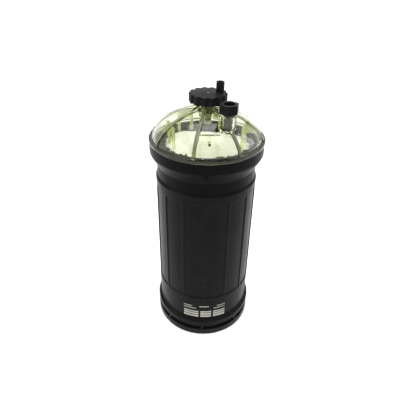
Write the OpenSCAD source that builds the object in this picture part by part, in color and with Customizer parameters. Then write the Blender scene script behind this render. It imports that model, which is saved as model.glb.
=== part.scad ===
// Liquid filter standing upside down on its connection end. A ribbed housing holds a pleated
// element with a magnet rod in its core. A clear collecting bowl closes the top, with a drain
// knob on its axis and a hex fitting beside it. Z is up, millimetres, and the origin is the
// centre of the base collar's underside. Angles called turn start at -Y and grow towards +X.

/* [Housing] */
// Radius of the joint flange
rim_r = 57; // [56:0.5:59]
// Height of the joint between the housing and the bowl
joint_z = 229; // [228:0.5:232]
// Radius over the ribs at the lower end of the panels
rib_r = 53.3; // [52.8:0.1:54]
// Radius over the ribs at the upper end of the panels
rib_top_r = 51.9; // [51.6:0.1:52.6]
// Number of ribs round the housing
rib_count = 14; // [10:1:18]
// Turn of the first rib
rib_turn = 1.5; // [-12:0.5:12]
// Width of a rib
rib_w = 2.4; // [1.6:0.2:4]
// Depth of the panels between the ribs
panel_depth = 0.9; // [0.5:0.1:1.4]
// Height of the panels' lower edge
panel_z = 59; // [50:1:70]
// Height of the panels' upper edge
panel_top_z = 183; // [170:1:186]
// Radius of the plain neck under the joint flange
neck_r = 50.2; // [50:0.1:51]
// Radius of the bore at the joint
bore_r = 47.6; // [47.2:0.1:47.8]

/* [Base] */
// Radius of the base rings
base_r = 56.4; // [55.6:0.2:58]
// Height of the base collar, up to the housing
collar_h = 15.4; // [14:0.2:18]
// Number of webs across the collar's groove
web_count = 8; // [4:1:12]
// Radius of the head's threaded hole
thread_r = 11.75; // [10:0.25:13]
// Number of inlet holes in the thread plate
inlet_count = 10; // [6:1:12]
// Radius of an inlet hole
inlet_r = 4.2; // [3:0.2:5]

/* [Bowl] */
// Radius of the dome where it leaves its flange
dome_r = 54; // [53:0.2:56]
// Rise of the dome above its flange
dome_h = 27.2; // [24:0.2:30]
// Wall of the dome
dome_wall = 2.6; // [2:0.1:3]
// Number of ribs on the dome
dome_rib_count = 8; // [6:1:10]
// Turn of the dome's first rib
dome_rib_turn = -12; // [-22:1:22]
// Width of a dome rib
dome_rib_w = 3.4; // [1.2:0.2:4]
// Number of standoff frames inside the dome
stand_count = 5; // [3:1:6]
// Turn of the first standoff frame
stand_turn = 3; // [-10:0.5:10]
// Distance of the standoff frames from the axis
stand_r = 36; // [34:0.5:38]
// Width of a standoff frame
stand_w = 18; // [14:1:20]

/* [Drain] */
// Radius over the knob's lobes
knob_r = 17.9; // [16:0.1:20]
// Number of finger notches round the knob
notch_count = 10; // [8:1:12]
// Height of the knob's underside
knob_z = 266.8; // [266:0.2:269]
// Thickness of the knob
knob_h = 7.8; // [7:0.2:9]
// Radius of the hose nipple
nipple_r = 3.8; // [3.2:0.1:4.2]
// Length of the hose nipple above the knob
nipple_h = 9; // [6:0.2:12]
// Distance of the hose nipple from the axis
nipple_at = 11.15; // [10:0.05:12.5]

/* [Port] */
// Distance of the port from the axis
port_at = 31.7; // [29:0.1:33]
// Turn of the port
port_turn = 35.5; // [25:0.5:45]
// Width across the flats of the fitting's hexagon
hex_af = 16; // [14:0.5:17]
// Height of the fitting's top
hex_top_z = 272.4; // [271:0.2:275]
// Radius of the fitting's bore
socket_r = 5; // [4:0.1:5.4]

/* [Element] */
// Radius of the pleated element
element_r = 44; // [40:0.5:45]
// Number of pleats
pleat_count = 54; // [36:2:72]
// Number of magnets on the rod
magnet_count = 5; // [3:1:6]

/* [Hidden] */

fine = 144;
medium = 64;
slip = 0.05;

// Base collar, its gasket groove and the rings' edges
collar_bore = 49.4;
lower_ring_h = 8.4;
groove_r = 53.6;
edge = 0.8;
gasket_in = 51;
gasket_out = 54.4;
gasket_h = 3;
gasket_recess = 0.4;
web_w = 2.4;

// Thread plate and bush
plate_z = 10;
plate_rim_z = 13;
plate_rim_r = 51.5;
plate_r = 49.3;
bush_r = 15;
bush_z = 8;
bush_top = 25.5;
bush_flange_r = 18;
bush_flange_h = 2;
inlet_at = 31;

// Housing
upper_ring_h = 7;
ring_fillet = 2.2;
panel_margin = 3;
lip_z = 192.4;
lip_h = 1.8;
cone_z = 206;
cone_h = 12.5;
flange_edge = 0.8;
gap_deg = 2 * asin(rib_w / 2 / rib_r);
panel_deg = 360 / rib_count - gap_deg;
seal_r = 51.6;
seal_d = 2.8;

// Element between its end caps
cap_t = 3.5;
cap_lip = 4;
cap_wall = 0.8;
element_z = 24.5;
element_top = 206;
pleat_in = 30;
media_bore = 22;
core_r = 20.4;
core_wall = 1.2;
core_hole_r = 2.4;
core_rows = 7;
screen_r = 21.1;
screen_wall = 0.6;
grommet_r = 17.2;

// Magnet rod, hung in the core from the upper end cap
sleeve_r = 10.4;
sleeve_wall = 1.2;
sleeve_z = 48;
sleeve_flange_r = 14;
sleeve_flange_h = 2;
disc_h = 3;
magnet_h = 26;
magnet_r = sleeve_r - sleeve_wall;
sleeve_floor_z = sleeve_z + 2;
stack_h = magnet_count * magnet_h + (magnet_count - 1) * disc_h;
cap_top = element_top + cap_t;
plug_head_z = cap_top + sleeve_flange_h;
plug_head_h = 1.8;
plug_head_r = 12;

// Pad and its gasket
pad_r = 45.5;
pad_top = 225.4;
pad_round_x = 5;
pad_round_z = 7;
pad_pocket_r = 14.8;
pad_pocket_h = 4.2;
liner_out = 47.5;
liner_in = 45.7;
liner_z = 215;
liner_top = 228;

// Bowl
bowl_flange_h = 3.4;
rim_round = 1.2;
dome_z = joint_z + bowl_flange_h;
dome_power = 1.5;
rib_rise = 1.6;
gusset_r = 21;
gusset_drop = 1.2;
stand_t = 2.6;
stand_leg = 2.6;
stand_bar_z = 240;
stand_bar_h = 14;
stand_web = 8;
stand_foot_z = pad_top + 0.3;
neck_out = 8.4;
neck_top = 264.8;
neck_low = 250;
stem_r = 4;
port_boss_r = 7.3;
port_top = 261.8;
port_low = 246.5;
insert_r = 4.3;
insert_z = 249;

// Drain
stem_low = 245;
stem_socket_z = 271.2;
stem_bore = 1.3;
seal_groove_r = 2.9;
seal_groove_z = 257.5;
seal_groove_h = 1.4;
drain_ring_d = 1.14;
clip_z = 247.6;
clip_h = 1.2;
clip_groove_r = 3;
clip_r = 5.6;
notch_r = 1.8;
notch_depth = 1.3;
notch_turn = -13;
knob_edge = 0.7;
knob_core_r = 15.6;
knob_hub_r = 7;
knob_core_h = 1.6;
knob_top = knob_z + knob_h;
nipple_turn = 102.4;
nipple_bore = 1.7;
nipple_root_r = 2.4;
nipple_root_h = 2.8;
nipple_lead = 0.5;
channel_z = 270;
channel_r = 1.2;
dimple_r = 2.4;
dimple_h = 1.4;
screw_r = 1.9;
screw_shank_r = 0.9;
screw_low = 271.6;

// Port fitting
hex_h = 7.8;
hex_turn = 110;
hex_corner_r = hex_af / sqrt(3);
hex_z = hex_top_z - hex_h;
washer_h = 1;
washer_r = 6.5;
socket_h = 6;
shank_r = insert_r - 1;
shank_low = 250;
shank_bore = 1.4;
fitting_ring_d = hex_z - washer_h - port_top;

function arc(cx, cz, r, from, to, n = 6) =
    [for (i = [0 : n]) let (a = from + (to - from) * i / n) [cx + r * cos(a), cz + r * sin(a)]];

// Points of a dome's outline from its rim up to radius r_end
function dome(a, h, r_end, n = 22) =
    let (last = acos(r_end / a))
    [for (i = [0 : n]) let (u = last * i / n) [a * cos(u), dome_z + h * pow(sin(u), 2 / dome_power)]];

function reverse(list) = [for (i = [len(list) - 1 : -1 : 0]) list[i]];

// Local +X points outwards at the given turn
module at_turn(turn, r = 0) rotate(turn - 90) translate([r, 0, 0]) children();

module ring(outer, inner, z, h, facets = fine)
    translate([0, 0, z]) rotate_extrude($fn = facets) translate([inner, 0]) square([outer - inner, h]);

module spin(points, facets = fine) rotate_extrude($fn = facets) polygon(points);

module o_ring(centre_r, d, z, facets = fine)
    translate([0, 0, z]) rotate_extrude($fn = facets) translate([centre_r, 0]) circle(d = d, $fn = 32);

module rod(r, z, top, facets = medium) translate([0, 0, z]) cylinder(r = r, h = top - z, $fn = facets);

module filter_housing() {
    ring_top = collar_h + upper_ring_h;
    outside = concat(
        [[collar_bore, collar_h], [base_r - edge, collar_h], [base_r, collar_h + edge]],
        arc(base_r - edge, ring_top - edge, edge, 0, 90, 4),
        arc(rib_r + ring_fillet, ring_top + ring_fillet, ring_fillet, 270, 180),
        [[rib_r, panel_z - panel_margin], [rib_top_r, panel_top_z + panel_margin], [rib_top_r, lip_z]],
        [[neck_r, lip_z + lip_h], [neck_r, cone_z]],
        [[neck_r + 1.2, cone_z + 3], [rim_r - 1, cone_z + cone_h - 1.5], [rim_r - 0.2, cone_z + cone_h]],
        [[rim_r - 0.2, joint_z - flange_edge], [rim_r - 0.2 - flange_edge, joint_z]],
        [[bore_r, joint_z], [bore_r, lip_z], [collar_bore, panel_z]]);
    cut_out = rib_r + 5;
    panel = [[rib_r - panel_depth, panel_z], [cut_out, panel_z], [cut_out, panel_top_z],
        [rib_top_r - panel_depth, panel_top_z]];
    color("#1c1d1f") difference() {
        spin(outside);
        for (i = [0 : rib_count - 1])
            rotate(rib_turn - 90 + gap_deg / 2 + i * 360 / rib_count)
                rotate_extrude(angle = panel_deg, $fn = fine) polygon(panel);
        ring(seal_r + seal_d / 2, seal_r - seal_d / 2, joint_z - seal_d, seal_d + 1);
    }
}

module base_collar() {
    color("#1a1b1d") union() {
        spin([[collar_bore, 0], [gasket_in, 0], [gasket_in, gasket_h], [gasket_out, gasket_h],
            [gasket_out, 0], [base_r - edge, 0], [base_r, edge], [base_r, lower_ring_h - edge],
            [base_r - edge, lower_ring_h], [groove_r, lower_ring_h], [groove_r, collar_h],
            [plate_rim_r, collar_h], [plate_rim_r, plate_rim_z], [collar_bore, plate_rim_z]]);
        for (i = [0 : web_count - 1])
            at_turn(i * 360 / web_count, groove_r - 1) translate([0, -web_w / 2, lower_ring_h - 1])
                cube([base_r - edge - groove_r, web_w, collar_h - lower_ring_h + 1]);
    }
}

module base_gasket() color("#101010")
    ring(gasket_out, gasket_in, gasket_recess, gasket_h - gasket_recess);

module thread_plate() {
    color("#8b8d90") difference() {
        union() {
            rod(plate_r, plate_z, collar_h, fine);
            rod(plate_rim_r, plate_rim_z, collar_h, fine);
        }
        rod(bush_r, plate_z - 1, collar_h + 1);
        for (i = [0 : inlet_count - 1])
            at_turn(i * 360 / inlet_count, inlet_at) rod(inlet_r, plate_z - 1, collar_h + 1, 32);
    }
}

module thread_bush() {
    color("#b9bbbe") difference() {
        union() {
            rod(bush_r, bush_z, bush_top);
            rod(bush_flange_r, collar_h, collar_h + bush_flange_h);
        }
        rod(thread_r, bush_z - 1, bush_top + 1);
    }
}

module element_seal() {
    low = element_z - cap_t;
    color("#151515") spin([[bush_r, low - 1.5], [grommet_r + 1.2, low - 1.5], [grommet_r + 1.2, low],
        [grommet_r, low], [grommet_r, element_z], [bush_r, element_z]], medium);
}

module lower_end_cap() {
    low = element_z - cap_t;
    edge_r = element_r + 0.2 + cap_wall;
    color("#3a3d40") spin([[grommet_r, low], [edge_r, low], [edge_r, element_z + cap_lip],
        [edge_r - cap_wall, element_z + cap_lip], [edge_r - cap_wall, element_z], [grommet_r, element_z]]);
}

module upper_end_cap() {
    edge_r = element_r + 0.2 + cap_wall;
    color("#3a3d40") spin([[sleeve_r, element_top], [edge_r - cap_wall, element_top],
        [edge_r - cap_wall, element_top - cap_lip], [edge_r, element_top - cap_lip], [edge_r, cap_top],
        [sleeve_r, cap_top]]);
}

module pleated_media() {
    step = 180 / pleat_count;
    star = [for (i = [0 : 2 * pleat_count - 1]) let (r = i % 2 == 0 ? element_r : pleat_in)
        [r * cos(i * step), r * sin(i * step)]];
    color("#d9cfa8") translate([0, 0, element_z]) difference() {
        linear_extrude(element_top - element_z) polygon(star);
        translate([0, 0, -1]) cylinder(r = media_bore, h = element_top - element_z + 2, $fn = medium);
    }
}

module core_tube() {
    row_step = (element_top - element_z) / (core_rows + 1);
    color("#6f7376") difference() {
        ring(core_r, core_r - core_wall, element_z, element_top - element_z, medium);
        for (row = [1 : core_rows], k = [0 : 3])
            translate([0, 0, element_z + row * row_step]) rotate([90, 0, k * 45 + row % 2 * 22.5])
                cylinder(r = core_hole_r, h = 3 * core_r, center = true, $fn = 24);
    }
}

module inner_screen() color("#c9ccce")
    ring(screen_r, screen_r - screen_wall, element_z, element_top - element_z, medium);

module magnet_sleeve() {
    color("#a9adb0") spin([[0, sleeve_z], [sleeve_r - 1.5, sleeve_z], [sleeve_r, sleeve_z + 1.5],
        [sleeve_r, cap_top], [sleeve_flange_r, cap_top], [sleeve_flange_r, plug_head_z],
        [magnet_r, plug_head_z], [magnet_r, sleeve_floor_z], [0, sleeve_floor_z]], medium);
}

module magnet_stack() color("#77797c") for (i = [0 : magnet_count - 1])
    let (z = sleeve_floor_z + i * (magnet_h + disc_h)) rod(magnet_r, z, z + magnet_h);

module pole_discs() color("#54575a") for (i = [1 : magnet_count - 1])
    let (z = sleeve_floor_z + i * (magnet_h + disc_h)) rod(magnet_r, z - disc_h, z);

module magnet_plug() {
    color("#2a2b2d") union() {
        rod(magnet_r, sleeve_floor_z + stack_h, plug_head_z);
        rod(plug_head_r, plug_head_z, plug_head_z + plug_head_h);
    }
}

module fleece_pad() {
    round = [for (i = [0 : 6]) let (a = i * 15)
        [pad_r - pad_round_x + pad_round_x * cos(a), pad_top - pad_round_z + pad_round_z * sin(a)]];
    color("#f4f4ea") spin(concat([[0, cap_top + pad_pocket_h], [pad_pocket_r, cap_top + pad_pocket_h],
        [pad_pocket_r, cap_top], [pad_r, cap_top]], round, [[0, pad_top]]));
}

module pad_gasket() color("#141414") ring(liner_out, liner_in, liner_z, liner_top - liner_z);

module bowl_seal() color("#1a1a1a") o_ring(seal_r, seal_d, joint_z - seal_d / 2);

// One frame hung from the dome at a turn: a plate with a radial web behind it, on two legs
module stand(turn) {
    at_turn(turn, stand_r) {
        translate([-stand_t / 2, -stand_w / 2, stand_bar_z]) cube([stand_t, stand_w, stand_bar_h]);
        translate([0, -stand_t / 2, stand_bar_z]) cube([stand_web, stand_t, stand_bar_h]);
        for (side = [-1, 1])
            translate([-stand_t / 2, side * (stand_w - stand_leg) / 2 - stand_leg / 2, stand_foot_z])
                cube([stand_t, stand_leg, stand_bar_z - stand_foot_z + 1]);
    }
}

module clear_bowl() {
    skin = concat([[collar_bore + 0.2, joint_z], [rim_r, joint_z]],
        arc(rim_r - rim_round, dome_z - rim_round, rim_round, 0, 90, 4),
        dome(dome_r, dome_h, stem_r + 1),
        reverse(dome(dome_r - dome_wall, dome_h - dome_wall, stem_r + 1)),
        [[collar_bore + 0.2, joint_z + 3]]);
    inside = concat([[0, joint_z]], [[dome_r - dome_wall - 1, joint_z]],
        dome(dome_r - dome_wall / 2, dome_h - dome_wall / 2, 0.01));
    fin = concat([[dome_r - dome_wall, dome_z - 1], [dome_r + rib_rise, dome_z - 1]],
        dome(dome_r + rib_rise, dome_h + rib_rise, neck_out - 2),
        reverse(dome(dome_r - 1, dome_h - 1, neck_out - 2)));
    gusset = [[neck_out - 2, dome_z + dome_h - 2], [gusset_r, dome_z + dome_h - 2],
        [neck_out + 1, neck_top - gusset_drop], [neck_out - 2, neck_top - gusset_drop]];
    color("#dfe8a0", 0.45) difference() {
        union() {
            spin(skin);
            for (i = [0 : dome_rib_count - 1])
                at_turn(dome_rib_turn + i * 360 / dome_rib_count) rotate([90, 0, 0])
                    translate([0, 0, -dome_rib_w / 2]) linear_extrude(dome_rib_w) {
                        polygon(fin);
                        polygon(gusset);
                    }
            intersection() {
                union() for (i = [0 : stand_count - 1]) stand(stand_turn + i * 360 / stand_count);
                spin(inside);
            }
            rod(neck_out, neck_low, neck_top);
            at_turn(port_turn, port_at) rod(port_boss_r, port_low, port_top);
        }
        rod(stem_r + slip, neck_low - 1, neck_top + 1);
        at_turn(port_turn, port_at) rod(insert_r, port_low - 1, port_top + 1);
    }
}

// Passage from the stem's bore to the hose nipple, shared by the stem and the knob
module drain_channel()
    at_turn(nipple_turn) translate([0, 0, channel_z]) rotate([0, 90, 0])
        cylinder(r = channel_r, h = nipple_at, $fn = 24);

module drain_stem() {
    color("#e2e0d0") difference() {
        rod(stem_r, stem_low, stem_socket_z);
        ring(stem_r + 1, seal_groove_r, seal_groove_z, seal_groove_h, medium);
        ring(stem_r + 1, clip_groove_r, clip_z, clip_h, medium);
        rod(stem_bore, stem_low - 1, channel_z, 24);
        drain_channel();
    }
}

module drain_seal() color("#0d0d0d")
    o_ring(seal_groove_r + drain_ring_d / 2, drain_ring_d, seal_groove_z + seal_groove_h / 2, medium);

module stem_retainer() {
    color("#c0c3c6") difference() {
        ring(clip_r, clip_groove_r, clip_z + 0.1, clip_h - 0.2, medium);
        translate([0, -clip_groove_r * 0.7, clip_z - 1]) cube([clip_r + 1, clip_groove_r * 1.4, clip_h + 2]);
    }
}

module drain_knob() {
    notch_at = knob_r - notch_depth + notch_r;
    color("#232427") difference() {
        spin([[0, knob_z], [knob_r - knob_edge / 2, knob_z], [knob_r, knob_z + knob_edge / 2],
            [knob_r, knob_top - knob_edge], [knob_r - knob_edge, knob_top], [0, knob_top]]);
        for (i = [0 : notch_count - 1])
            at_turn(notch_turn + i * 360 / notch_count, notch_at) rod(notch_r, knob_z - 1, knob_top + 1, 48);
        ring(knob_core_r, knob_hub_r, knob_z - 1, knob_core_h + 1);
        rod(stem_r, knob_z - 1, stem_socket_z);
        rod(dimple_r, knob_top - dimple_h, knob_top + 1, 32);
        rod(screw_shank_r, stem_socket_z - 1, knob_top, 24);
        at_turn(nipple_turn, nipple_at) rod(nipple_root_r, knob_top - nipple_root_h, knob_top + 1, 32);
        at_turn(nipple_turn, nipple_at) rod(nipple_bore, channel_z, knob_top, 32);
        drain_channel();
    }
}

module knob_screw() {
    color("#8d9093") difference() {
        union() {
            rod(screw_r, knob_top - dimple_h, knob_top - 0.3, 32);
            rod(screw_shank_r, screw_low, knob_top - dimple_h + 0.1, 24);
        }
        translate([-screw_r - 1, -0.25, knob_top - 0.8]) cube([2 * screw_r + 2, 0.5, 1]);
    }
}

module drain_nipple() {
    low = knob_top - nipple_root_h;
    top = knob_top + nipple_h;
    color("#151618") at_turn(nipple_turn, nipple_at) spin([[nipple_bore, low], [nipple_root_r, low],
        [nipple_root_r, knob_top], [nipple_r, knob_top], [nipple_r, top - nipple_lead],
        [nipple_r - nipple_lead, top], [nipple_bore, top]], medium);
}

module port_insert() color("#9da1a3")
    at_turn(port_turn, port_at) ring(insert_r, shank_r + slip, insert_z, port_top - insert_z, medium);

module port_fitting() {
    color("#1b1c1e") at_turn(port_turn, port_at) difference() {
        union() {
            rotate(hex_turn - port_turn) translate([0, 0, hex_z])
                cylinder(r = hex_corner_r, h = hex_h, $fn = 6);
            rod(washer_r, hex_z - washer_h, hex_z + washer_h);
            rod(shank_r, shank_low, hex_z + washer_h - 0.5);
        }
        rod(socket_r, hex_top_z - socket_h, hex_top_z + 1);
        rod(shank_bore, shank_low - 1, hex_top_z, 24);
    }
}

module fitting_seal() color("#0d0d0d") at_turn(port_turn, port_at)
    o_ring(shank_r + slip + fitting_ring_d / 2, fitting_ring_d, port_top + fitting_ring_d / 2, medium);

filter_housing();
base_collar();
base_gasket();
thread_plate();
thread_bush();
element_seal();
lower_end_cap();
pleated_media();
core_tube();
inner_screen();
upper_end_cap();
magnet_sleeve();
magnet_stack();
pole_discs();
magnet_plug();
fleece_pad();
pad_gasket();
bowl_seal();
clear_bowl();
drain_stem();
drain_seal();
stem_retainer();
drain_knob();
knob_screw();
drain_nipple();
port_insert();
port_fitting();
fitting_seal();
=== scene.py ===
import math

import bpy
from mathutils import Matrix, Vector, noise


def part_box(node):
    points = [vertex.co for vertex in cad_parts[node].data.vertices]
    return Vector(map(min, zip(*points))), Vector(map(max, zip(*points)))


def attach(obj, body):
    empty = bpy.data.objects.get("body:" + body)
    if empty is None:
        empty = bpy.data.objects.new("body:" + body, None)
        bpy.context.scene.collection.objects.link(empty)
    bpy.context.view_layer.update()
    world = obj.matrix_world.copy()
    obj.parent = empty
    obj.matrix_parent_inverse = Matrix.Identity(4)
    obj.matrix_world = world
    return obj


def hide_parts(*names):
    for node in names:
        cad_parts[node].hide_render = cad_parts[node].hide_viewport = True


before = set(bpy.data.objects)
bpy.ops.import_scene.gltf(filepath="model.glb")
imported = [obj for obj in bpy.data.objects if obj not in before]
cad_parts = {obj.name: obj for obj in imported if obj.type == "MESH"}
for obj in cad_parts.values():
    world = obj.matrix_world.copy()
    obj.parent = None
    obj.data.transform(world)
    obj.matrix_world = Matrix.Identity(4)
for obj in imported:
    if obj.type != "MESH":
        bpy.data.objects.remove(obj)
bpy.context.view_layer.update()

MM = 0.001
BODY = "filter_body"


# ---------------------------------------------------------------- sizes, read from the frame (mm)

def span(node):
    low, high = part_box(node)
    return [v / MM for v in low], [v / MM for v in high]


house_high = span("filter_housing")[1]
collar_high = span("base_collar")[1]
bowl_high = span("clear_bowl")[1]
stem_high = span("drain_stem")[1]
pad_low = span("fleece_pad")[0]
knob_low, knob_high = span("drain_knob")
nipple_low, nipple_high = span("drain_nipple")
fitting_low, fitting_high = span("port_fitting")
seal_low, seal_high = span("fitting_seal")
insert_low, insert_high = span("port_insert")
liner_low, liner_high = span("pad_gasket")

RIM_R = bowl_high[0]
BASE_R = collar_high[0]
COLLAR_TOP = collar_high[2]
JOINT_Z = house_high[2]
INSERT_R = (insert_high[0] - insert_low[0]) / 2
PORT = [(insert_low[i] + insert_high[i]) / 2 for i in (0, 1)]
NIPPLE = [(nipple_low[i] + nipple_high[i]) / 2 for i in (0, 1)]


# ---------------------------------------------------------------- modelling helpers

def only(*objects):
    """Leaves just these objects selected, the first one active."""
    if bpy.context.object and bpy.context.object.mode != "OBJECT":
        bpy.ops.object.mode_set(mode="OBJECT")
    bpy.ops.object.select_all(action="DESELECT")
    for o in objects:
        o.select_set(True)
    bpy.context.view_layer.objects.active = objects[0]


def start_vertex(name, point):
    """A new mesh of one vertex, in edit mode, ready to be extruded."""
    bpy.ops.object.select_all(action="DESELECT")
    bpy.ops.mesh.primitive_plane_add(size=MM, location=Vector(point) * MM)
    obj = bpy.context.object
    obj.name = obj.data.name = name
    bpy.ops.object.transform_apply()
    bpy.ops.object.mode_set(mode="EDIT")
    bpy.ops.mesh.select_mode(type="VERT")
    bpy.ops.mesh.merge(type="CENTER")
    return obj


def draw_outline(name, points):
    """Extrudes one vertex along the points, and closes the loop."""
    obj = start_vertex(name, points[0])
    for a, b in zip(points, points[1:]):
        step = (Vector(b) - Vector(a)) * MM
        bpy.ops.mesh.extrude_vertices_move(TRANSFORM_OT_translate={"value": step})
    bpy.ops.mesh.select_all(action="DESELECT")
    bpy.ops.object.mode_set(mode="OBJECT")
    obj.data.vertices[0].select = True
    obj.data.vertices[len(points) - 1].select = True
    bpy.ops.object.mode_set(mode="EDIT")
    bpy.ops.mesh.edge_face_add()
    bpy.ops.mesh.select_all(action="SELECT")
    return obj


def draw_plate(name, points, thick):
    """Fills a closed outline and extrudes it by the vector thick."""
    obj = draw_outline(name, points)
    bpy.ops.mesh.edge_face_add()
    bpy.ops.mesh.extrude_region_move(
        TRANSFORM_OT_translate={"value": tuple(v * MM for v in thick)})
    bpy.ops.object.mode_set(mode="OBJECT")
    return tidy_mesh(obj)


def draw_prism(name, points, low, high):
    """A plate drawn in plan, from low to high."""
    return draw_plate(name, [(x, y, low) for x, y in points], (0, 0, high - low))


def tidy_mesh(obj, merge=0.004):
    """Merges doubles and turns every face outwards."""
    only(obj)
    bpy.ops.object.mode_set(mode="EDIT")
    bpy.ops.mesh.select_all(action="SELECT")
    bpy.ops.mesh.remove_doubles(threshold=merge * MM)
    bpy.ops.mesh.normals_make_consistent(inside=False)
    bpy.ops.object.mode_set(mode="OBJECT")
    return obj


def lathe(name, outline, steps=160, at=(0, 0)):
    """Spins an outline of (radius, height) points round the axis."""
    obj = draw_outline(name, [(r, 0, z) for r, z in outline])
    bpy.ops.mesh.spin(steps=steps, angle=2 * math.pi, center=(0, 0, 0), axis=(0, 0, 1))
    bpy.ops.object.mode_set(mode="OBJECT")
    tidy_mesh(obj)
    place(obj, at[0], at[1])
    return obj


def place(obj, x=0, y=0, z=0, turn=0, tip=0):
    """Tips a piece about X, turns it about Z, moves it, and leaves its object at the origin."""
    only(obj)
    obj.rotation_euler = (tip, 0, turn)
    obj.location = Vector((x, y, z)) * MM
    bpy.ops.object.transform_apply()
    return obj


def modify(obj, kind, **settings):
    """Adds a modifier and applies it."""
    only(obj)
    modifier = obj.modifiers.new(kind.title(), kind)
    for key, value in settings.items():
        setattr(modifier, key, value)
    bpy.ops.object.modifier_apply(modifier=modifier.name)
    return obj


def soften(obj, width, segments=2, angle=35):
    """Bevels the edges that are sharper than the angle."""
    return modify(obj, "BEVEL", width=width * MM, segments=segments, limit_method="ANGLE",
                  angle_limit=math.radians(angle), harden_normals=False)


def smooth(obj, angle=35):
    """Shades a piece smooth up to the angle, with weighted normals."""
    only(obj)
    bpy.ops.object.shade_smooth_by_angle(angle=math.radians(angle))
    return modify(obj, "WEIGHTED_NORMAL", keep_sharp=True)


def merge_in(obj, *others):
    """Fuses other closed pieces into obj."""
    for other in others:
        modify(obj, "BOOLEAN", operation="UNION", solver="EXACT", object=other)
        bpy.data.objects.remove(other)
    return obj


def cut_out(obj, *others):
    """Cuts other closed pieces out of obj."""
    for other in others:
        modify(obj, "BOOLEAN", operation="DIFFERENCE", solver="EXACT", object=other)
        bpy.data.objects.remove(other)
    return obj


def copy_of(obj, turn):
    """A copy with a mesh of its own, turned about the object's axis."""
    only(obj)
    bpy.ops.object.duplicate(linked=False)
    return place(bpy.context.object, turn=turn)


def ring_of(obj, count):
    """The piece and its copies, spaced evenly round the axis."""
    return [obj] + [copy_of(obj, i * 2 * math.pi / count) for i in range(1, count)]


def join(name, *objects):
    """Makes one object of several, without fusing them."""
    only(*objects)
    bpy.ops.object.join()
    whole = bpy.context.object
    whole.name = whole.data.name = name
    return whole


def block(name, size, centre, edge=0.3):
    """A box with bevelled edges."""
    bpy.ops.object.select_all(action="DESELECT")
    bpy.ops.mesh.primitive_cube_add(size=MM, location=Vector(centre) * MM)
    obj = bpy.context.object
    obj.name = name
    obj.scale = size
    bpy.ops.object.transform_apply()
    return soften(obj, edge) if edge else obj


def rod(name, r, low, high, at=(0, 0), facets=48):
    """A plain round rod, for cutting and fusing."""
    bpy.ops.object.select_all(action="DESELECT")
    bpy.ops.mesh.primitive_cylinder_add(vertices=facets, radius=r * MM, depth=(high - low) * MM,
                                        location=(at[0] * MM, at[1] * MM, (low + high) / 2 * MM))
    obj = bpy.context.object
    obj.name = name
    bpy.ops.object.transform_apply()
    return obj


def arc(cx, cz, r, start, end, n=6):
    """Points on an arc, angles in degrees from the outward direction."""
    step = math.radians(end - start) / n
    first = math.radians(start)
    return [(cx + r * math.cos(first + i * step), cz + r * math.sin(first + i * step))
            for i in range(n + 1)]


def turn_angle(degrees):
    """A turn from -Y towards +X, as an angle about Z."""
    return math.radians(degrees - 90)


def choose(obj, test):
    """Opens a mesh in edit mode with the faces selected whose centre and normal pass a test."""
    only(obj)
    bpy.ops.object.mode_set(mode="EDIT")
    bpy.ops.mesh.select_mode(type="FACE")
    bpy.ops.mesh.select_all(action="DESELECT")
    bpy.ops.object.mode_set(mode="OBJECT")
    for face in obj.data.polygons:
        face.select = test(face.center / MM, face.normal)
    bpy.ops.object.mode_set(mode="EDIT")


# ---------------------------------------------------------------- materials

class Finish:
    """A node material with short names for the parts that every finish uses."""

    def __init__(self, name):
        self.material = bpy.data.materials.new(name)
        self.material.use_nodes = True
        self.tree = self.material.node_tree
        self.shader = self.tree.nodes["Principled BSDF"]
        self.place = self.node("ShaderNodeTexCoord").outputs["Object"]

    def node(self, kind, **inputs):
        made = self.tree.nodes.new(kind)
        for key, value in inputs.items():
            made.inputs[key.replace("_", " ")].default_value = value
        return made

    def link(self, out, into):
        self.tree.links.new(out, into)

    def set(self, **values):
        for key, value in values.items():
            self.shader.inputs[key.replace("_", " ")].default_value = value
        return self

    def noise(self, scale, detail=3, roughness=0.55, stretch=(1, 1, 1)):
        mapping = self.node("ShaderNodeMapping", Scale=stretch)
        self.link(self.place, mapping.inputs["Vector"])
        texture = self.node("ShaderNodeTexNoise", Scale=scale, Detail=detail, Roughness=roughness)
        self.link(mapping.outputs["Vector"], texture.inputs["Vector"])
        return texture.outputs["Fac"]

    def spread(self, value, low, high, out_low, out_high):
        remap = self.node("ShaderNodeMapRange")
        limits = {"From Min": low, "From Max": high, "To Min": out_low, "To Max": out_high}
        for key, number in limits.items():
            remap.inputs[key].default_value = number
        self.link(value, remap.inputs["Value"])
        return remap.outputs["Result"]

    def blend(self, factor, first, second):
        ramp = self.tree.nodes.new("ShaderNodeValToRGB")
        ramp.color_ramp.elements[0].color = (*first, 1)
        ramp.color_ramp.elements[1].color = (*second, 1)
        self.link(factor, ramp.inputs["Fac"])
        return ramp.outputs["Color"]

    def colour(self, value):
        self.link(value, self.shader.inputs["Base Color"])
        return self

    def rough(self, value):
        self.link(value, self.shader.inputs["Roughness"])
        return self

    def bump(self, *layers):
        """Stacks bump layers, each (height, strength, distance in mm)."""
        normal = None
        for height, strength, distance in layers:
            bump = self.node("ShaderNodeBump", Strength=strength, Distance=distance * MM)
            self.link(height, bump.inputs["Height"])
            if normal is not None:
                self.link(normal, bump.inputs["Normal"])
            normal = bump.outputs["Normal"]
        self.link(normal, self.shader.inputs["Normal"])
        return self


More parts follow.
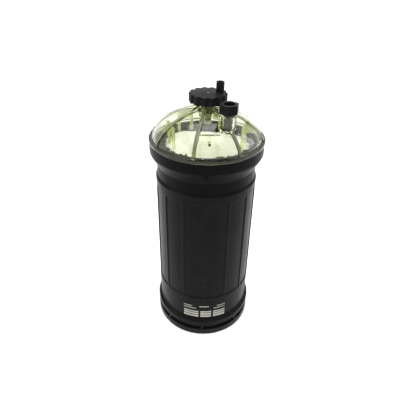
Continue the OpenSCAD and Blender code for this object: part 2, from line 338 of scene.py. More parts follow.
def moulded_nylon(name, dark, light, roughness, grain=1400, gloss=0.07):
    """Black moulded nylon: cloudy colour, a fine spark-eroded grain and faint handling marks."""
    f = Finish(name)
    cloud = f.noise(38, 4, 0.6)
    marks = f.noise(160, 5, 0.7, (1, 1, 0.18))
    f.colour(f.blend(f.spread(cloud, 0.35, 0.7, 0, 1), dark, light))
    f.rough(f.spread(marks, 0.3, 0.75, roughness - 0.07, roughness + 0.09))
    f.bump((f.noise(grain, 2), 0.16, 0.05), (cloud, 0.05, 0.3))
    return f.set(IOR=1.46, Specular_IOR_Level=gloss).material


def soft_rubber(name, shade=0.012):
    f = Finish(name)
    f.colour(f.blend(f.noise(220, 4), (shade, shade, shade), (shade * 2.2,) * 3))
    f.rough(f.spread(f.noise(500, 3), 0.3, 0.7, 0.42, 0.62))
    f.bump((f.noise(900, 3), 0.12, 0.05))
    return f.set(IOR=1.5).material


def turned_metal(name, dark, light, roughness):
    """Metal with fine rings left by turning."""
    f = Finish(name)
    rings = f.noise(60, 3, 0.6, (1, 1, 40))
    f.colour(f.blend(f.noise(120, 4), dark, light))
    f.rough(f.spread(rings, 0.3, 0.7, roughness - 0.08, roughness + 0.12))
    f.bump((rings, 0.15, 0.03))
    return f.set(Metallic=1.0).material


def clear_moulding(name, soak, density, frost,
                   bright=(0.992, 1.0, 0.965), deep=(0.985, 0.995, 0.94), clear=1.0):
    """Clear moulded polymer, which takes up light of the soak colour over its thickness."""
    f = Finish(name)
    flow = f.noise(26, 3, 0.5)
    f.colour(f.blend(f.spread(flow, 0.3, 0.75, 0, 1), bright, deep))
    f.rough(f.spread(f.noise(90, 4, 0.6), 0.45, 0.85, frost, frost + 0.06))
    f.bump((flow, 0.06, 0.4))
    depth = f.node("ShaderNodeVolumeAbsorption", Color=(*soak, 1), Density=density)
    output = f.tree.nodes["Material Output"]
    f.link(depth.outputs["Volume"], output.inputs["Volume"])
    f.set(Transmission_Weight=clear, IOR=1.49, Specular_Tint=(0.45, 0.45, 0.45, 1))
    return f.material


def needled_fleece(name):
    """White needled fleece with loose fibres and a faint yellow stain."""
    f = Finish(name)
    stain = f.noise(22, 4, 0.6)
    f.colour(f.blend(f.spread(stain, 0.5, 0.8, 0, 1), (0.97, 0.97, 0.95), (0.90, 0.89, 0.78)))
    f.bump((f.noise(1500, 4, 0.75), 0.5, 0.3), (f.noise(300, 4, 0.6), 0.45, 0.6))
    return f.set(Roughness=0.95, Sheen_Weight=0.25).material


def pleat_paper(name):
    f = Finish(name)
    f.colour(f.blend(f.noise(400, 5, 0.7), (0.62, 0.53, 0.33), (0.78, 0.70, 0.50)))
    f.bump((f.noise(1800, 3), 0.3, 0.1))
    return f.set(Roughness=0.85).material


FINE_GRAIN = 1800

housing_black = moulded_nylon(
    "housing_black_nylon", (0.0022, 0.0024, 0.0024), (0.0042, 0.0045, 0.0045), 0.30)
# painted shade: a darker, less glossy copy of the housing nylon, standing in for the shade under
# the overhanging flange
neck_painted_shade = moulded_nylon(
    "neck_painted_shade_nylon", (0.0016, 0.0018, 0.0018), (0.0030, 0.0032, 0.0032), 0.36, gloss=0.045)
collar_black = moulded_nylon(
    "collar_black_nylon", (0.0020, 0.0022, 0.0024), (0.0040, 0.0042, 0.0045), 0.32, gloss=0.13)
knob_black = moulded_nylon(
    "knob_black_nylon", (0.0065, 0.0064, 0.0064), (0.0105, 0.0103, 0.0103), 0.42,
    FINE_GRAIN, 0.05)
fitting_black = moulded_nylon(
    "fitting_black_nylon", (0.0045, 0.0045, 0.0046), (0.0075, 0.0075, 0.0076), 0.32,
    FINE_GRAIN, 0.045)
cap_grey = moulded_nylon("cap_grey_nylon", (0.045, 0.048, 0.052), (0.06, 0.063, 0.066), 0.5)
seal_black = soft_rubber("seal_rubber_black")
foam_black = soft_rubber("foam_black", 0.010)
zinc = turned_metal("zinc_plated_steel", (0.55, 0.56, 0.57), (0.66, 0.66, 0.67), 0.32)
dull_zinc = turned_metal("dull_zinc_steel", (0.20, 0.20, 0.20), (0.32, 0.32, 0.32), 0.42)
stainless = turned_metal("drawn_stainless", (0.58, 0.58, 0.57), (0.68, 0.68, 0.67), 0.28)
cast_aluminium = turned_metal("cast_aluminium", (0.45, 0.46, 0.47), (0.58, 0.59, 0.60), 0.45)
insert_grey = turned_metal("insert_grey_metal", (0.04, 0.045, 0.045), (0.10, 0.105, 0.10), 0.3)
magnet_nickel = turned_metal("magnet_nickel", (0.45, 0.44, 0.42), (0.55, 0.54, 0.52), 0.2)
bowl_clear = clear_moulding("bowl_clear_polymer", (0.70, 0.75, 0.44), 80.0, 0.012)
# painted shade: a deeper yellow-green, frosted copy of the bowl polymer for the ribs, standing in
# for the dark green edges that light through the ribs gives them
fin_painted_edge_shade = clear_moulding(
    "fin_painted_edge_shade_polymer", (0.70, 0.75, 0.44), 80.0, 0.10,
    (0.90, 0.97, 0.60), (0.82, 0.92, 0.48), 0.92)
# painted light: a brighter, less clear yellow-green copy of the bowl polymer, standing in for the
# glow of light along the stand plates
stand_painted_glow = clear_moulding(
    "stand_painted_glow_polymer", (0.86, 0.96, 0.10), 60.0, 0.10,
    (0.95, 1.0, 0.56), (0.90, 0.98, 0.44), 0.62)
fleece_white = needled_fleece("fleece_white")
stem_natural = moulded_nylon("stem_natural_polymer", (0.70, 0.70, 0.58), (0.80, 0.80, 0.68), 0.35)
print_beige = moulded_nylon("print_beige", (0.26, 0.25, 0.22), (0.44, 0.43, 0.38), 0.55)
paper = pleat_paper("pleat_paper")


def finish_piece(obj, material, slot, body, *nodes):
    """Gives a piece its material, hangs it on the body it rides on and hides the CAD nodes it
    stands for.
    """
    obj.data.materials.clear()
    obj.data.materials.append(material)
    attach(obj, body)
    if nodes:
        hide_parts(*nodes)
    return obj


def second_finish(obj, material, test):
    """Gives another material to the faces whose centre, in metres, passes a test."""
    obj.data.materials.append(material)
    for face in obj.data.polygons:
        if test(face.center):
            face.material_index = 1


# ---------------------------------------------------------------- housing

RIB_COUNT = 14
RIB_TURN = 1.5
RIB_W = 2.4
PANEL_DEPTH = 0.9
BAND_R = RIM_R - 3.7
RIB_TOP_R = RIM_R - 5.1
PANEL_Z = COLLAR_TOP + 43.6
PANEL_TOP_Z = JOINT_Z - 46
LIP_Z = JOINT_Z - 36.6
NECK_R = RIM_R - 6.8
CONE_Z = JOINT_Z - 23
BORE_R = RIM_R - 9.4
LOWER_BORE_R = BORE_R + 1.8
WELD = 0.1
PANEL_STEPS = 8
GATE = [(0.01, 0), (1.9, 0), (2.3, 0.35), (1.7, 0.7), (0.01, 0.7)]


def housing_outline():
    ring_top = COLLAR_TOP + 7
    panel_h = PANEL_TOP_Z - PANEL_Z
    slope = (RIB_TOP_R - BAND_R) / panel_h
    return (
        [(LOWER_BORE_R, COLLAR_TOP)]
        + arc(BASE_R - 0.7, COLLAR_TOP + 0.7, 0.7, 270, 360, 3)
        + arc(BASE_R - 0.8, ring_top - 0.8, 0.8, 0, 90, 4)
        + arc(BAND_R + 2.2, ring_top + 2.2, 2.2, 270, 180, 6)
        + [(BAND_R, ring_top + 12), (BAND_R, PANEL_Z - 3)]
        + [(BAND_R + slope * panel_h * i / PANEL_STEPS, PANEL_Z + panel_h * i / PANEL_STEPS)
           for i in range(PANEL_STEPS + 1)]
        + [(RIB_TOP_R, PANEL_TOP_Z + 3)]
        + arc(RIB_TOP_R - 0.5, LIP_Z - 0.5, 0.5, 0, 60, 2)
        + [(NECK_R + 0.25, LIP_Z + 1.5), (NECK_R, LIP_Z + 2.4), (NECK_R, CONE_Z - 0.5)]
        + [(NECK_R + 0.4, CONE_Z + 0.8), (NECK_R + 1.3, CONE_Z + 3), (NECK_R + 2.9, CONE_Z + 5.8)]
        + [(NECK_R + 4.7, CONE_Z + 9), (RIM_R - 1.1, CONE_Z + 11), (RIM_R - 0.5, CONE_Z + 12.2)]
        + [(RIM_R - 0.2, CONE_Z + 13.2)]
        + arc(RIM_R - 0.8, JOINT_Z + WELD - 0.6, 0.6, 0, 90, 3)
        + [(BORE_R, JOINT_Z + WELD), (BORE_R, JOINT_Z - 30), (LOWER_BORE_R, PANEL_Z)]
    )


def build_housing():
    """Spins one rib's pitch from the outline, presses its panel in and copies it round."""
    pitch = 2 * math.pi / RIB_COUNT
    half_rib = math.asin(RIB_W / 2 / BAND_R)
    first = turn_angle(RIB_TURN)
    sector = draw_outline("housing", [(r * math.cos(first), r * math.sin(first), z)
                                      for r, z in housing_outline()])
    for steps, angle in ((1, half_rib), (8, pitch - 2 * half_rib), (1, half_rib)):
        bpy.ops.mesh.spin(steps=steps, angle=angle, center=(0, 0, 0), axis=(0, 0, 1))
    bpy.ops.mesh.select_all(action="SELECT")
    bpy.ops.mesh.normals_make_consistent(inside=False)

    def faces_panel(centre, normal):
        around = abs((math.atan2(centre.y, centre.x) - first + math.pi)
                     % (2 * math.pi) - math.pi)
        return (PANEL_Z < centre.z < PANEL_TOP_Z and centre.xy.length > RIB_TOP_R - 1
                and half_rib * 1.2 < around < pitch - half_rib * 1.2)

    bpy.ops.object.mode_set(mode="OBJECT")
    outer = [f for f in sector.data.polygons if faces_panel(f.center / MM, f.normal)]
    if outer[0].normal.xy.dot(outer[0].center.xy) < 0:
        choose(sector, lambda centre, normal: True)
        bpy.ops.mesh.flip_normals()
    choose(sector, faces_panel)
    bpy.ops.mesh.inset(thickness=0.35 * MM, depth=-PANEL_DEPTH * MM)
    bpy.ops.object.mode_set(mode="OBJECT")
    housing = tidy_mesh(join("housing", *ring_of(sector, RIB_COUNT)), 0.02)
    soften(housing, 0.38, 2, 38)
    gate = lathe("housing_gate", GATE, 20)
    place(gate, 0, -RIM_R + 0.85, CONE_Z + 10.2, tip=math.radians(90))
    return smooth(join("housing", housing, gate), 32)


housing = finish_piece(build_housing(), housing_black, "housing_plastic", BODY, "filter_housing")
# the neck and cone above the lip take the painted-shade copy of the nylon
second_finish(housing, neck_painted_shade, lambda centre: centre.z / MM > LIP_Z + 0.6)


# ---------------------------------------------------------------- base collar and gasket

WEB_COUNT = 8
WEB_W = 2.4
GROOVE_R = RIM_R - 3.4
LOWER_RING_H = 8.4
GASKET_IN = 51
GASKET_OUT = 54.4
GASKET_H = 3


def build_collar():
    """The two base rings with the groove between them, bridged by webs."""
    collar_bore = LOWER_BORE_R
    rim_in = collar_bore + 2.1
    collar = lathe("collar", (
        [(collar_bore, 0.4), (collar_bore + 0.4, 0), (GASKET_IN, 0), (GASKET_IN, GASKET_H)]
        + [(GASKET_OUT, GASKET_H), (GASKET_OUT, 0)]
        + arc(BASE_R - 0.8, 0.8, 0.8, 270, 360, 4)
        + arc(BASE_R - 0.8, LOWER_RING_H - 0.8, 0.8, 0, 90, 4)
        + [(GROOVE_R + 0.8, LOWER_RING_H), (GROOVE_R + 0.2, LOWER_RING_H + 0.2)]
        + [(GROOVE_R, LOWER_RING_H + 0.8), (GROOVE_R, COLLAR_TOP), (rim_in, COLLAR_TOP)]
        + [(rim_in, COLLAR_TOP - 2.4), (collar_bore, COLLAR_TOP - 2.4)]
    ), 144)
    depth = BASE_R - 0.8 - GROOVE_R + 1
    height = COLLAR_TOP - LOWER_RING_H + 1
    web = block("collar_web", (depth, WEB_W, height),
                (GROOVE_R - 1 + depth / 2, 0, COLLAR_TOP - height / 2), 0.35)
    place(web, turn=turn_angle(0))
    merge_in(collar, join("collar_webs", *ring_of(web, WEB_COUNT)))
    return smooth(tidy_mesh(collar), 32)


finish_piece(build_collar(), collar_black, "collar_plastic", BODY, "base_collar")
gasket = lathe("base_gasket_ring", (
    [(GASKET_IN, GASKET_H - 0.1), (GASKET_IN, 0.9), (GASKET_IN + 0.5, 0.4)]
    + [(GASKET_OUT - 0.5, 0.4), (GASKET_OUT, 0.9), (GASKET_OUT, GASKET_H - 0.1)]), 120)
finish_piece(smooth(gasket), seal_black, "seal_rubber", BODY, "base_gasket")


# ---------------------------------------------------------------- clear bowl

DOME_R = 54
DOME_RISE = 27.2
DOME_WALL = 2.6
DOME_Z = JOINT_Z + 3.4
DOME_POWER = 2 / 1.5
FIN_COUNT = 8
FIN_TURN = -12
FIN_W = 3.4
FIN_RISE = 1.6
GUSSET_R = 21
NECK_OUT = 8.4
NECK_TOP = bowl_high[2]
NECK_LOW = 250
STEM_BORE = 4.05
STAND_COUNT = 5
STAND_TURN = 3
STAND_R = 36
STAND_W = 18
STAND_T = 2.6
STAND_FOOT_Z = 225.9
STAND_BAR_Z = 240
STAND_WEB = 8
STAND_TOP_Z = 248
BOSS_R = 7.3
BOSS_Z = (246.5, 261.8)
FLANGE_IN = BORE_R + 2


def dome(a, rise, r_end, n=22):
    """Points of a dome's outline, from its rim up to radius r_end."""
    last = math.acos(r_end / a)
    return [(a * math.cos(last * i / n), DOME_Z + rise * math.sin(last * i / n) ** DOME_POWER)
            for i in range(n + 1)]


def build_fin():
    """A rib that runs over the dome to the neck, with a gusset up the neck."""
    top = dome(DOME_R + FIN_RISE, DOME_RISE + FIN_RISE, GUSSET_R, 16)
    low = dome(DOME_R - 1, DOME_RISE - 1, NECK_OUT - 1.5, 16)
    outline = ([(DOME_R - 1, DOME_Z - 1)] + top
               + [(NECK_OUT + 1, NECK_TOP - 1.4), (NECK_OUT - 1.5, NECK_TOP - 1.4)] + low[::-1])
    fin = draw_plate("bowl_fin", [(r, -FIN_W / 2, z) for r, z in outline], (0, FIN_W, 0))
    soften(fin, 0.4, 2, 50)
    return place(fin, turn=turn_angle(FIN_TURN))


def build_stand():
    """A plate with a radial web behind it, hung from the dome on two legs."""
    half = STAND_W / 2
    leg = half - 2.6
    outline = [(-half, STAND_FOOT_Z), (-leg, STAND_FOOT_Z), (-leg, STAND_BAR_Z),
               (leg, STAND_BAR_Z), (leg, STAND_FOOT_Z), (half, STAND_FOOT_Z),
               (half, STAND_TOP_Z - 1), (half / 2, STAND_TOP_Z - 0.3), (0, STAND_TOP_Z),
               (-half / 2, STAND_TOP_Z - 0.3), (-half, STAND_TOP_Z - 1)]
    stand = draw_plate("bowl_stand", [(STAND_R - STAND_T / 2, y, z) for y, z in outline],
                       (STAND_T, 0, 0))
    profile = [(0, STAND_BAR_Z), (STAND_WEB, STAND_BAR_Z), (STAND_WEB, STAND_TOP_Z - 4),
               (5, STAND_TOP_Z - 2), (2, STAND_TOP_Z - 0.4), (0, STAND_TOP_Z - 0.1)]
    web = draw_plate("bowl_web", [(STAND_R + x, -STAND_T / 2, z) for x, z in profile],
                     (0, STAND_T, 0))
    merge_in(stand, web)
    soften(stand, 0.35, 2)
    return place(stand, turn=turn_angle(STAND_TURN))


def build_stands():
    """The standoff frames, as one piece, in a brighter yellow-green copy of the clear polymer that
    paints the glow of light along their plates; the one in front, seen face-on, keeps the plain,
    clearer polymer.
    """
    stands = smooth(join("bowl_stands", *ring_of(build_stand(), STAND_COUNT)), 40)
    finish_piece(stands, stand_painted_glow, "bowl_plastic", BODY, "clear_bowl")
    second_finish(stands, bowl_clear, lambda centre: centre.y / MM < -STAND_R * 0.7)


def build_bowl():
    """The lathed skin with its ribs, its stands (a piece of their own), boss and bores."""
    skin = (
        [(FLANGE_IN, JOINT_Z), (RIM_R - 0.3, JOINT_Z), (RIM_R, JOINT_Z + 0.3)]
        + arc(RIM_R - 0.5, DOME_Z - 0.5, 0.5, 0, 90, 3)
        + [(DOME_R + 0.6, DOME_Z)] + dome(DOME_R, DOME_RISE, NECK_OUT + 2.2)
        + [(NECK_OUT + 0.9, DOME_Z + DOME_RISE), (NECK_OUT + 0.2, DOME_Z + DOME_RISE + 0.8)]
        + [(NECK_OUT, DOME_Z + DOME_RISE + 1.8)]
        + [(NECK_OUT, NECK_TOP - 0.5), (NECK_OUT - 0.5, NECK_TOP)]
        + [(STEM_BORE + 0.4, NECK_TOP), (STEM_BORE, NECK_TOP - 0.4), (STEM_BORE, NECK_LOW)]
        + [(NECK_OUT - 0.5, NECK_LOW), (NECK_OUT, NECK_LOW + 0.5)]
        + [(NECK_OUT, DOME_Z + DOME_RISE - 4)]
        + dome(DOME_R - DOME_WALL, DOME_RISE - DOME_WALL, NECK_OUT + 1)[::-1]
        + [(FLANGE_IN, JOINT_Z + 3)]
    )
    bowl = lathe("bowl", skin, 128)
    merge_in(bowl, join("bowl_fins", *ring_of(build_fin(), FIN_COUNT)))
    build_stands()
    boss_low, boss_high = BOSS_Z
    boss = lathe("bowl_boss", [(0.01, boss_low), (BOSS_R - 0.5, boss_low), (BOSS_R, boss_low + 0.5),
                               (BOSS_R, boss_high - 0.4), (BOSS_R - 0.4, boss_high),
                               (0.01, boss_high)], 64, PORT)
    merge_in(bowl, boss)
    cut_out(bowl, rod("port_bore", INSERT_R, boss_low - 1, boss_high + 1, PORT, 64))
    cut_out(bowl, rod("stem_bore", STEM_BORE, NECK_LOW - 1, NECK_TOP + 1, facets=64))
    return smooth(tidy_mesh(bowl), 40)


def on_fin(centre):
    """Whether a face lies on a rib, proud of the dome and clear of the boss."""
    r, z = centre.xy.length / MM, centre.z / MM
    u = math.acos(min(1, max(0.01, r) / (DOME_R + 0.01)))
    proud = z > DOME_Z + DOME_RISE * math.sin(u) ** DOME_POWER + 0.12 and z > DOME_Z + 0.3
    from_port = math.hypot(centre.x / MM - PORT[0], centre.y / MM - PORT[1])
    return NECK_OUT + 0.5 < r < DOME_R + FIN_RISE and proud and from_port >= BOSS_R + 0.3


bowl = finish_piece(build_bowl(), bowl_clear, "bowl_plastic", BODY, "clear_bowl")
# the ribs take the painted-shade copy of the bowl polymer
second_finish(bowl, fin_painted_edge_shade, on_fin)
# painted shade: a thin black rubber block on the neck's front, standing in for the shade inside a
# slot there
key = block("neck_slot_painted_shade", (1.8, 1.2, 6), (1.5, -NECK_OUT + 0.3, NECK_TOP - 4.2), 0.3)
key.data.name = key.name
finish_piece(smooth(key), seal_black, "seal_rubber", BODY)


# ---------------------------------------------------------------- drain knob and its nipple

KNOB_R = 17.9
KNOB_Z = knob_low[2]
KNOB_TOP = knob_high[2]
KNOB_RIM_TOP = KNOB_TOP - 0.7
KNOB_RIM_LOW = KNOB_Z - 0.8
NOTCH_COUNT = 14
NOTCH_R = 2.0
NOTCH_DEPTH = 1.9
NOTCH_TURN = 0
KNOB_CORE_R = 15.6
KNOB_HUB_R = 7
KNOB_CORE_H = 1.6
CROWN_R = 15.9
CROWN_RINGS = ((12.6, 0.28), (9.4, 0.46), (6.4, 0.6))
DIMPLE_R = 2.4
DIMPLE_H = 1.4
SCREW_R = 1.9
SCREW_LOW = 271.6
SCREW_SHANK_R = 0.9
NIPPLE_BORE = 1.7
NIPPLE_FOOT_R = 2.4
STEM_SOCKET_R = 4
STEM_SOCKET_Z = stem_high[2]
VALVE = "drain_valve"


def knob_outline():
    """The lobed outline, one finger notch after another."""
    notch_at = KNOB_R - NOTCH_DEPTH + NOTCH_R
    reach = math.acos((KNOB_R**2 + notch_at**2 - NOTCH_R**2) / (2 * KNOB_R * notch_at))
    swing = math.asin(KNOB_R * math.sin(reach) / NOTCH_R)
    pitch = 2 * math.pi / NOTCH_COUNT
    points = []
    for k in range(NOTCH_COUNT):
        middle = turn_angle(NOTCH_TURN) + k * pitch
        for i in range(7):
            a = swing * (i - 3) / 3
            x, y = notch_at - NOTCH_R * math.cos(a), NOTCH_R * math.sin(a)
            points.append((x * math.cos(middle) - y * math.sin(middle),
                           x * math.sin(middle) + y * math.cos(middle)))
        for i in range(1, 6):
            a = middle + reach + (pitch - 2 * reach) * i / 6
            points.append((KNOB_R * math.cos(a), KNOB_R * math.sin(a)))
    return points


def build_knob():
    """The notched rim with a low ringed crown on it, hollow underneath."""
    knob = draw_prism("knob", knob_outline(), KNOB_RIM_LOW, KNOB_RIM_TOP)
    soften(knob, 0.35, 2, 40)
    crown = [(0.01, KNOB_RIM_TOP - 1), (CROWN_R, KNOB_RIM_TOP - 1), (CROWN_R, KNOB_RIM_TOP),
             (15.4, KNOB_RIM_TOP + 0.12)]
    for r, height in CROWN_RINGS:
        crown += [(r, KNOB_RIM_TOP + height), (r - 0.2, KNOB_RIM_TOP + height - 0.13),
                  (r - 0.45, KNOB_RIM_TOP + height + 0.02)]
    crown += [(3.4, KNOB_TOP), (0.01, KNOB_TOP)]
    merge_in(knob, lathe("knob_crown", crown, 72))
    recess_low, recess_top = KNOB_Z - 2, KNOB_Z + KNOB_CORE_H
    cut_out(knob, lathe("knob_recess", [(KNOB_HUB_R, recess_low), (KNOB_CORE_R, recess_low),
                                        (KNOB_CORE_R, recess_top), (KNOB_HUB_R, recess_top)], 64))
    cut_out(knob, rod("stem_socket", STEM_SOCKET_R, KNOB_Z - 2, STEM_SOCKET_Z),
            rod("dimple", DIMPLE_R, KNOB_TOP - DIMPLE_H, KNOB_TOP + 1, facets=32),
            rod("nipple_socket", NIPPLE_FOOT_R, KNOB_TOP - 2.8, KNOB_TOP + 1, NIPPLE, 32))
    return smooth(tidy_mesh(knob), 40)


def build_screw():
    """The slotted screw in the dimple."""
    low, top = KNOB_TOP - DIMPLE_H, KNOB_TOP - 0.3
    screw = lathe("knob_screw_head", [(0.01, low), (SCREW_R, low), (SCREW_R, top - 0.5),
                                      (1.6, top - 0.15), (1.0, top), (0.01, top)], 32)
    cut_out(screw, block("slot", (0.6, 6, 1), (0, 0, top + 0.05), 0))
    merge_in(screw, rod("shank", SCREW_SHANK_R, SCREW_LOW, low + 0.1, facets=24))
    return smooth(tidy_mesh(screw), 35)


def build_nipple():
    """A plain tube on a thinner foot that sits in the knob."""
    low, top = nipple_low[2], nipple_high[2]
    r = (nipple_high[0] - nipple_low[0]) / 2
    outline = ([(NIPPLE_BORE, low), (NIPPLE_FOOT_R, low), (NIPPLE_FOOT_R, KNOB_TOP)]
               + [(r, KNOB_TOP), (r, KNOB_TOP + 1.6)] + arc(r - 0.5, top - 0.5, 0.5, 0, 90, 4)
               + [(2.8, top), (2.3, top - 0.5), (NIPPLE_BORE, top - 1.6)])
    return smooth(lathe("nipple", outline, 48, NIPPLE), 40)


finish_piece(build_knob(), knob_black, "knob_plastic", VALVE, "drain_knob")
finish_piece(build_screw(), dull_zinc, "zinc_steel", VALVE, "knob_screw")
finish_piece(build_nipple(), fitting_black, "fitting_plastic", VALVE, "drain_nipple")


# ---------------------------------------------------------------- port fitting

HEX_AF = 16
HEX_TURN = 110
HEX_H = 7.8
HEX_TOP = fitting_high[2]
HEX_Z = HEX_TOP - HEX_H
WASHER_R = 6.5
SOCKET_R = 5
SOCKET_H = 6
SHANK_R = 3.3
SHANK_BORE = 1.4
PORT_BORE = SHANK_R + 0.05


def build_fitting():
    """The hexagon with its washer face, shank and open socket."""
    corner = HEX_AF / math.sqrt(3)
    corners = [turn_angle(HEX_TURN + i * 60) for i in range(6)]
    points = [(PORT[0] + corner * math.cos(a), PORT[1] + corner * math.sin(a)) for a in corners]
    nut = draw_prism("fitting", points, HEX_Z, HEX_TOP)
    soften(nut, 0.3, 2, 30)
    merge_in(nut, rod("washer", WASHER_R, HEX_Z - 1, HEX_Z + 1, PORT, 64),
             rod("shank", SHANK_R, fitting_low[2], HEX_Z + 0.5, PORT, 48))
    socket = lathe("socket", [(0.01, HEX_TOP - SOCKET_H), (SOCKET_R, HEX_TOP - SOCKET_H),
                              (SOCKET_R, HEX_TOP - 0.6), (SOCKET_R + 0.9, HEX_TOP + 0.3),
                              (0.01, HEX_TOP + 0.3)], 48, PORT)
    cut_out(nut, socket, rod("shank_bore", SHANK_BORE, fitting_low[2] - 1, HEX_TOP, PORT, 24))
    return smooth(tidy_mesh(nut), 32)


def build_insert():
    """The metal insert moulded into the boss, with a groove between two plain bands."""
    low, top = insert_low[2], insert_high[2]
    inner, outer = PORT_BORE, INSERT_R
    outline = [(inner, low), (outer, low), (outer, low + 4.6), (outer - 0.5, low + 5),
               (outer - 0.5, low + 6.6), (outer, low + 7), (outer, top - 0.3),
               (outer - 0.3, top), (inner + 0.3, top), (inner, top - 0.3)]
    return smooth(lathe("insert", outline, 48, PORT), 35)


def build_ring():
    """The fitting's O-ring, pressed slightly flat."""
    wire_r = (seal_high[2] - seal_low[2]) / 2
    centre_r, z = PORT_BORE + wire_r, (seal_low[2] + seal_high[2]) / 2
    turns = [i * math.pi / 8 for i in range(16)]
    outline = [(centre_r + wire_r * math.cos(a), z + wire_r * 0.96 * math.sin(a)) for a in turns]
    return smooth(lathe("fitting_ring", outline, 64, PORT), 60)


finish_piece(build_fitting(), fitting_black, "fitting_plastic", "fitting", "port_fitting")
finish_piece(build_insert(), insert_grey, "insert_metal", BODY, "port_insert")
finish_piece(build_ring(), seal_black, "seal_rubber", "fitting_seal_lift", "fitting_seal")


# ---------------------------------------------------------------- fleece pad and its ragged gasket

PAD_R = 45.5
PAD_LOW = pad_low[2]
PAD_FLAT = 223.4
PAD_CORNER = 5
PAD_MIDDLE = 224.0
PAD_LEAN = 3.2
PAD_BUMP = 5.0
PAD_BUMP_AT = (-21, 20)
PAD_BUMP_SPREAD = 150
LINER_IN = 45.8


def ripple(x, y, size, layer):
    """Smooth noise over the plan, with lumps of about the given size."""
    return noise.noise(Vector((x / size, y / size, layer)))


def pad_height(x, y):
    """Top of the pad: higher in front, with a bump at the back left and soft lumps."""
    lean = PAD_LEAN * max(-1, min(1, -y / PAD_R))
    bump_x, bump_y = PAD_BUMP_AT
    bump = PAD_BUMP * math.exp(-((x - bump_x) ** 2 + (y - bump_y) ** 2) / PAD_BUMP_SPREAD)
    lumps = 2.4 * ripple(x, y, 13, 3.1) + 0.9 * ripple(x, y, 4.5, 7.7)
    return PAD_MIDDLE + lean + bump + lumps


def build_pad():
    """A lathed disc, divided finely and then pulled about as teased wadding."""
    steps = 14
    outline = ([(0.01, PAD_LOW), (PAD_R - 3, PAD_LOW)]
               + [(PAD_R - 0.6, PAD_LOW + 2), (PAD_R, PAD_LOW + 5)]
               + arc(PAD_R - PAD_CORNER, PAD_FLAT - PAD_CORNER, PAD_CORNER, 0, 80, 6)
               + [((PAD_R - 4.8) * (1 - i / steps) + 0.01, PAD_FLAT)
                  for i in range(1, steps + 1)])
    pad = lathe("fleece", outline, 96)
    modify(pad, "SUBSURF", levels=2, render_levels=2)
    for v in pad.data.vertices:
        x, y, z = v.co / MM
        r = math.hypot(x, y)
        up = max(0, min(1, (z - 214) / 9))
        edge = max(0, min(1, (r - 30) / 14))
        ragged = 1.5 * ripple(x, y, 4.5, z / 5) + 0.7 * ripple(x, y, 1.8, z / 2)
        pull = 1 + edge * (ragged - 1.0) / PAD_R
        z += up * (pad_height(x, y) - PAD_FLAT) + 0.28 * up * ripple(x, y, 1.5, 5)
        v.co = Vector((x * pull, y * pull, z)) * MM
    return smooth(tidy_mesh(pad), 180)


def build_liner():
    """The torn foam ring round the pad."""
    low, top = liner_low[2], liner_high[2]
    inner, outer = LINER_IN, liner_high[0]
    rows = 5
    heights = [low + (top - low) * i / rows for i in range(1, rows + 1)]
    outline = ([(inner, low), (outer, low)] + [(outer, z) for z in heights]
               + [((inner + outer) / 2, top + 0.4)] + [(inner, z) for z in heights[::-1]])
    liner = lathe("pad_liner", outline, 220)
    for v in liner.data.vertices:
        x, y, z = v.co / MM
        tear = ripple(x, y, 3.5, 1.3) + 0.6 * ripple(x, y, 1.2, 8.3)
        up = max(0, (z - low - 6) / (top - low - 6))
        pull = 1 - up * (0.9 + 0.8 * tear) / outer
        if up > 0.9 and math.hypot(x, y) < (inner + outer) / 2 + 0.1:
            flap = ripple(x, y, 6, 4.9) + 0.5 * ripple(x, y, 1.7, 2.2)
            pull -= max(0, 0.7 + 2.2 * flap) * 2.4 / outer
        v.co = Vector((x * pull, y * pull, z + up * 1.9 * tear)) * MM
    return smooth(liner, 50)


fleece = finish_piece(build_pad(), fleece_white, "fleece", BODY, "fleece_pad")
finish_piece(build_liner(), foam_black, "foam_rubber", BODY, "pad_gasket")


# ---------------------------------------------------------------- plain printed marks on the band

MARK_IN = BAND_R - 0.3
MARK_OUT = BAND_R + 0.05
THREE_BARS = [(-24, -5), (-2.5, 11), (13.5, 29)]
MARK_ROWS = [
    (27.6, 30.4, THREE_BARS),
    (31.6, 34.2, THREE_BARS),
    (35.4, 37.4, THREE_BARS),
    (41.2, 42.2, [(-24, -8), (14, 29)]),
    (44.6, 45.6, [(-24, -13), (-4, 8), (18, 29)]),
]


def build_marks():
    """Plain bars and dashes printed on the band, with no lettering."""
    marks = []
    for low, high, bars in MARK_ROWS:
        for start, end in bars:
            outline = [(MARK_IN, low), (MARK_OUT, low), (MARK_OUT, high), (MARK_IN, high)]
            a = turn_angle(start)
            mark = draw_outline("mark", [(r * math.cos(a), r * math.sin(a), z) for r, z in outline])
            bpy.ops.mesh.edge_face_add()
            bpy.ops.mesh.spin(steps=max(2, round((end - start) / 2)),
                              angle=math.radians(start - end), center=(0, 0, 0), axis=(0, 0, 1))
            bpy.ops.object.mode_set(mode="OBJECT")
            marks.append(tidy_mesh(mark))
    return smooth(join("band_marks", *marks), 30)


finish_piece(build_marks(), print_beige, "housing_plastic", BODY)


# ---------------------------------------------------------------- finishes of the kept CAD nodes

KEPT = {
    cast_aluminium: ["thread_plate"],
    zinc: ["thread_bush", "pole_discs"],
    seal_black: ["element_seal", "bowl_seal", "drain_seal"],
    cap_grey: ["lower_end_cap", "upper_end_cap", "magnet_plug"],
    paper: ["pleated_media"],
    stainless: ["core_tube", "inner_screen", "magnet_sleeve", "stem_retainer"],
    magnet_nickel: ["magnet_stack"],
    stem_natural: ["drain_stem"],
}
for material, names in KEPT.items():
    for name in names:
        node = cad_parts[name]
        node.data.materials.clear()
        node.data.materials.append(material)


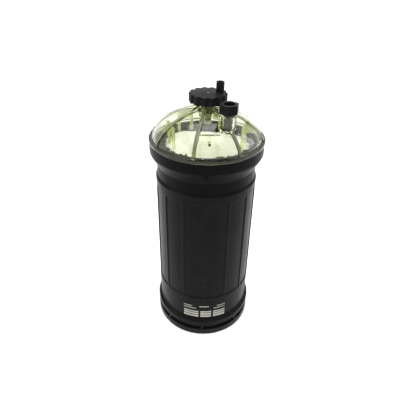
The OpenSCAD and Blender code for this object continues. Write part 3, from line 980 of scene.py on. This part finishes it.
# ---------------------------------------------------------------- floor, light and camera

BACKDROP_STRENGTH = 1.25
AIM_AT = (0, 0, 0.14)
CAMERA_AT = (0, -0.3357446, 0.3735863)
CAMERA_DOWN = 34.4877
CAMERA_LEAN = 1.5197

bpy.ops.object.select_all(action="DESELECT")
bpy.ops.mesh.primitive_plane_add(size=40)
floor = bpy.context.object
floor.name = "floor"
plain = Finish("floor_white")
plain.colour(plain.blend(plain.noise(3, 2), (0.84, 0.84, 0.84), (0.86, 0.86, 0.86)))
floor.data.materials.append(plain.set(Roughness=0.9, IOR=1.2).material)

world = bpy.data.worlds.new("studio")
world.use_nodes = True
bpy.context.scene.world = world
backdrop = world.node_tree.nodes["Background"]
backdrop.inputs["Strength"].default_value = BACKDROP_STRENGTH
backdrop.inputs["Color"].default_value = (1, 1, 1, 1)


def softbox(name, place_at, size, power):
    """A soft rectangular lamp aimed at the object."""
    bpy.ops.object.light_add(type="AREA", location=place_at)
    lamp = bpy.context.object
    lamp.name = name
    lamp.data.shape = "RECTANGLE"
    lamp.data.size, lamp.data.size_y = size
    lamp.data.energy = power
    aim = Vector(AIM_AT) - lamp.location
    lamp.rotation_euler = aim.to_track_quat("-Z", "Y").to_euler()


softbox("top_softbox", (0, 0.1, 1.3), (0.9, 0.9), 9)
softbox("left_softbox", (-0.9, -0.3, 0.9), (0.7, 0.7), 6)
softbox("right_softbox", (1.0, 0.2, 0.8), (0.6, 0.8), 5)

bpy.ops.object.camera_add()
camera = bpy.context.object
camera.name = "camera"
camera.data.sensor_width = 36
camera.data.lens = 31.226
camera.data.shift_x = 0.01168
camera.data.shift_y = 0.00117
aim_down = Matrix.Rotation(math.radians(90 - CAMERA_DOWN), 4, "X")
lean = Matrix.Rotation(math.radians(CAMERA_LEAN), 4, "Z")
camera.matrix_world = Matrix.Translation(CAMERA_AT) @ aim_down @ lean
camera.data.clip_start = 0.01
bpy.context.scene.camera = camera
bpy.context.scene.view_settings.view_transform = "Standard"

only(floor)
floor.select_set(False)
